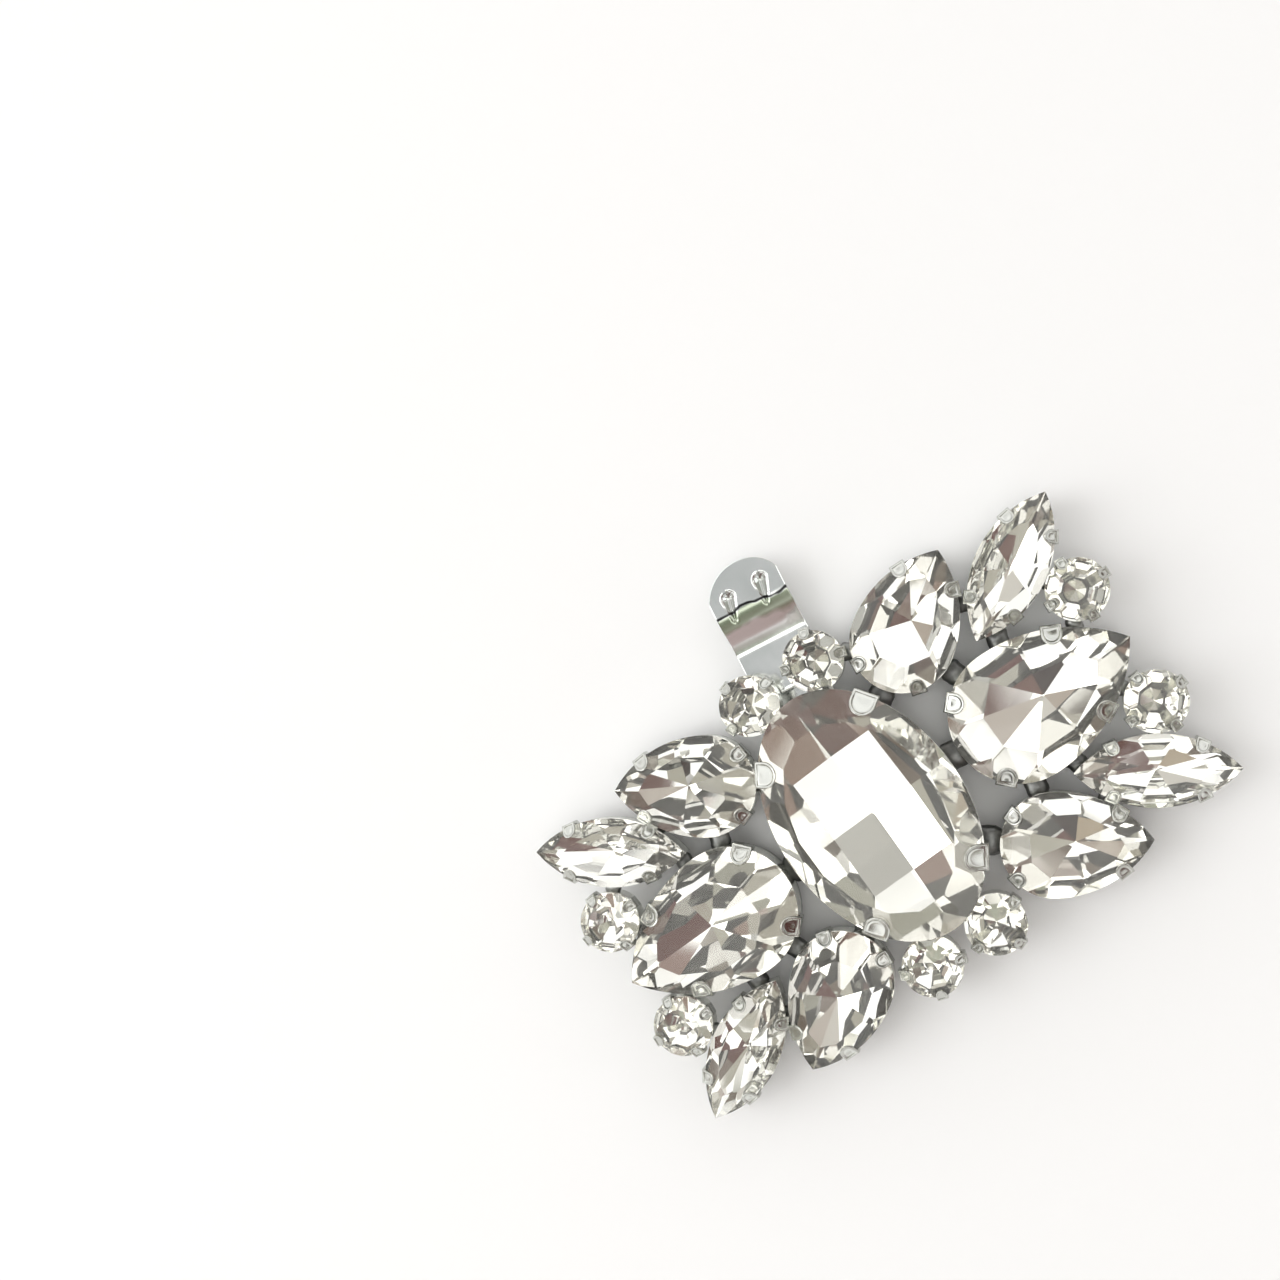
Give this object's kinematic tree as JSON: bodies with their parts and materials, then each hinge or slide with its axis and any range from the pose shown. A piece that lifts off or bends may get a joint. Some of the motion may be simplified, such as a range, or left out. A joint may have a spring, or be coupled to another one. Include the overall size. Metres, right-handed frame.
{
  "type": "shoe buckle",
  "caption": "Jewelled shoe buckle with cut clear stones in soldered claw settings, on a clip whose toothed lever is hinged at the back.",
  "frame": {"origin": "on the underside of the clip plate, below the middle of the ornament", "axes": "+X along the ornament, +Y towards the open lever's side, +Z out of the stones' tables"},
  "size_m": [0.0648, 0.0483, 0.009],
  "materials": {
    "stone_glass": "cut and polished, foiled back",
    "silver_metal": "polished plating, slightly worn"
  },
  "bodies": {
    "ornament": {"center_stone": "stone_glass", "pear_stone_right": "stone_glass", "pear_stone_left": "stone_glass", "drop_stone_back_right": "stone_glass", "drop_stone_back_left": "stone_glass", "drop_stone_front_right": "stone_glass", "drop_stone_front_left": "stone_glass", "navette_stone_back_right": "stone_glass", "navette_stone_back_left": "stone_glass", "navette_stone_front_right": "stone_glass", "navette_stone_front_left": "stone_glass", "outer_round_stone_back_right": "stone_glass", "outer_round_stone_front_right": "stone_glass", "outer_round_stone_back_left": "stone_glass", "outer_round_stone_front_left": "stone_glass", "end_round_stone_back_right": "stone_glass", "end_round_stone_back_left": "stone_glass", "end_round_stone_front_right": "stone_glass", "end_round_stone_front_left": "stone_glass", "settings": "silver_metal", "hinge_pin": "silver_metal"},
    "lever": {"lever": "silver_metal"}
  },
  "joints": [
    {"name": "lever_hinge", "type": "hinge", "parent": "ornament", "child": "lever", "pos_m": [0.00073, 0.016, 0.00087], "axis": [-0.9877, 0.1564, 0], "range_deg": [0, 180]}
  ]
}
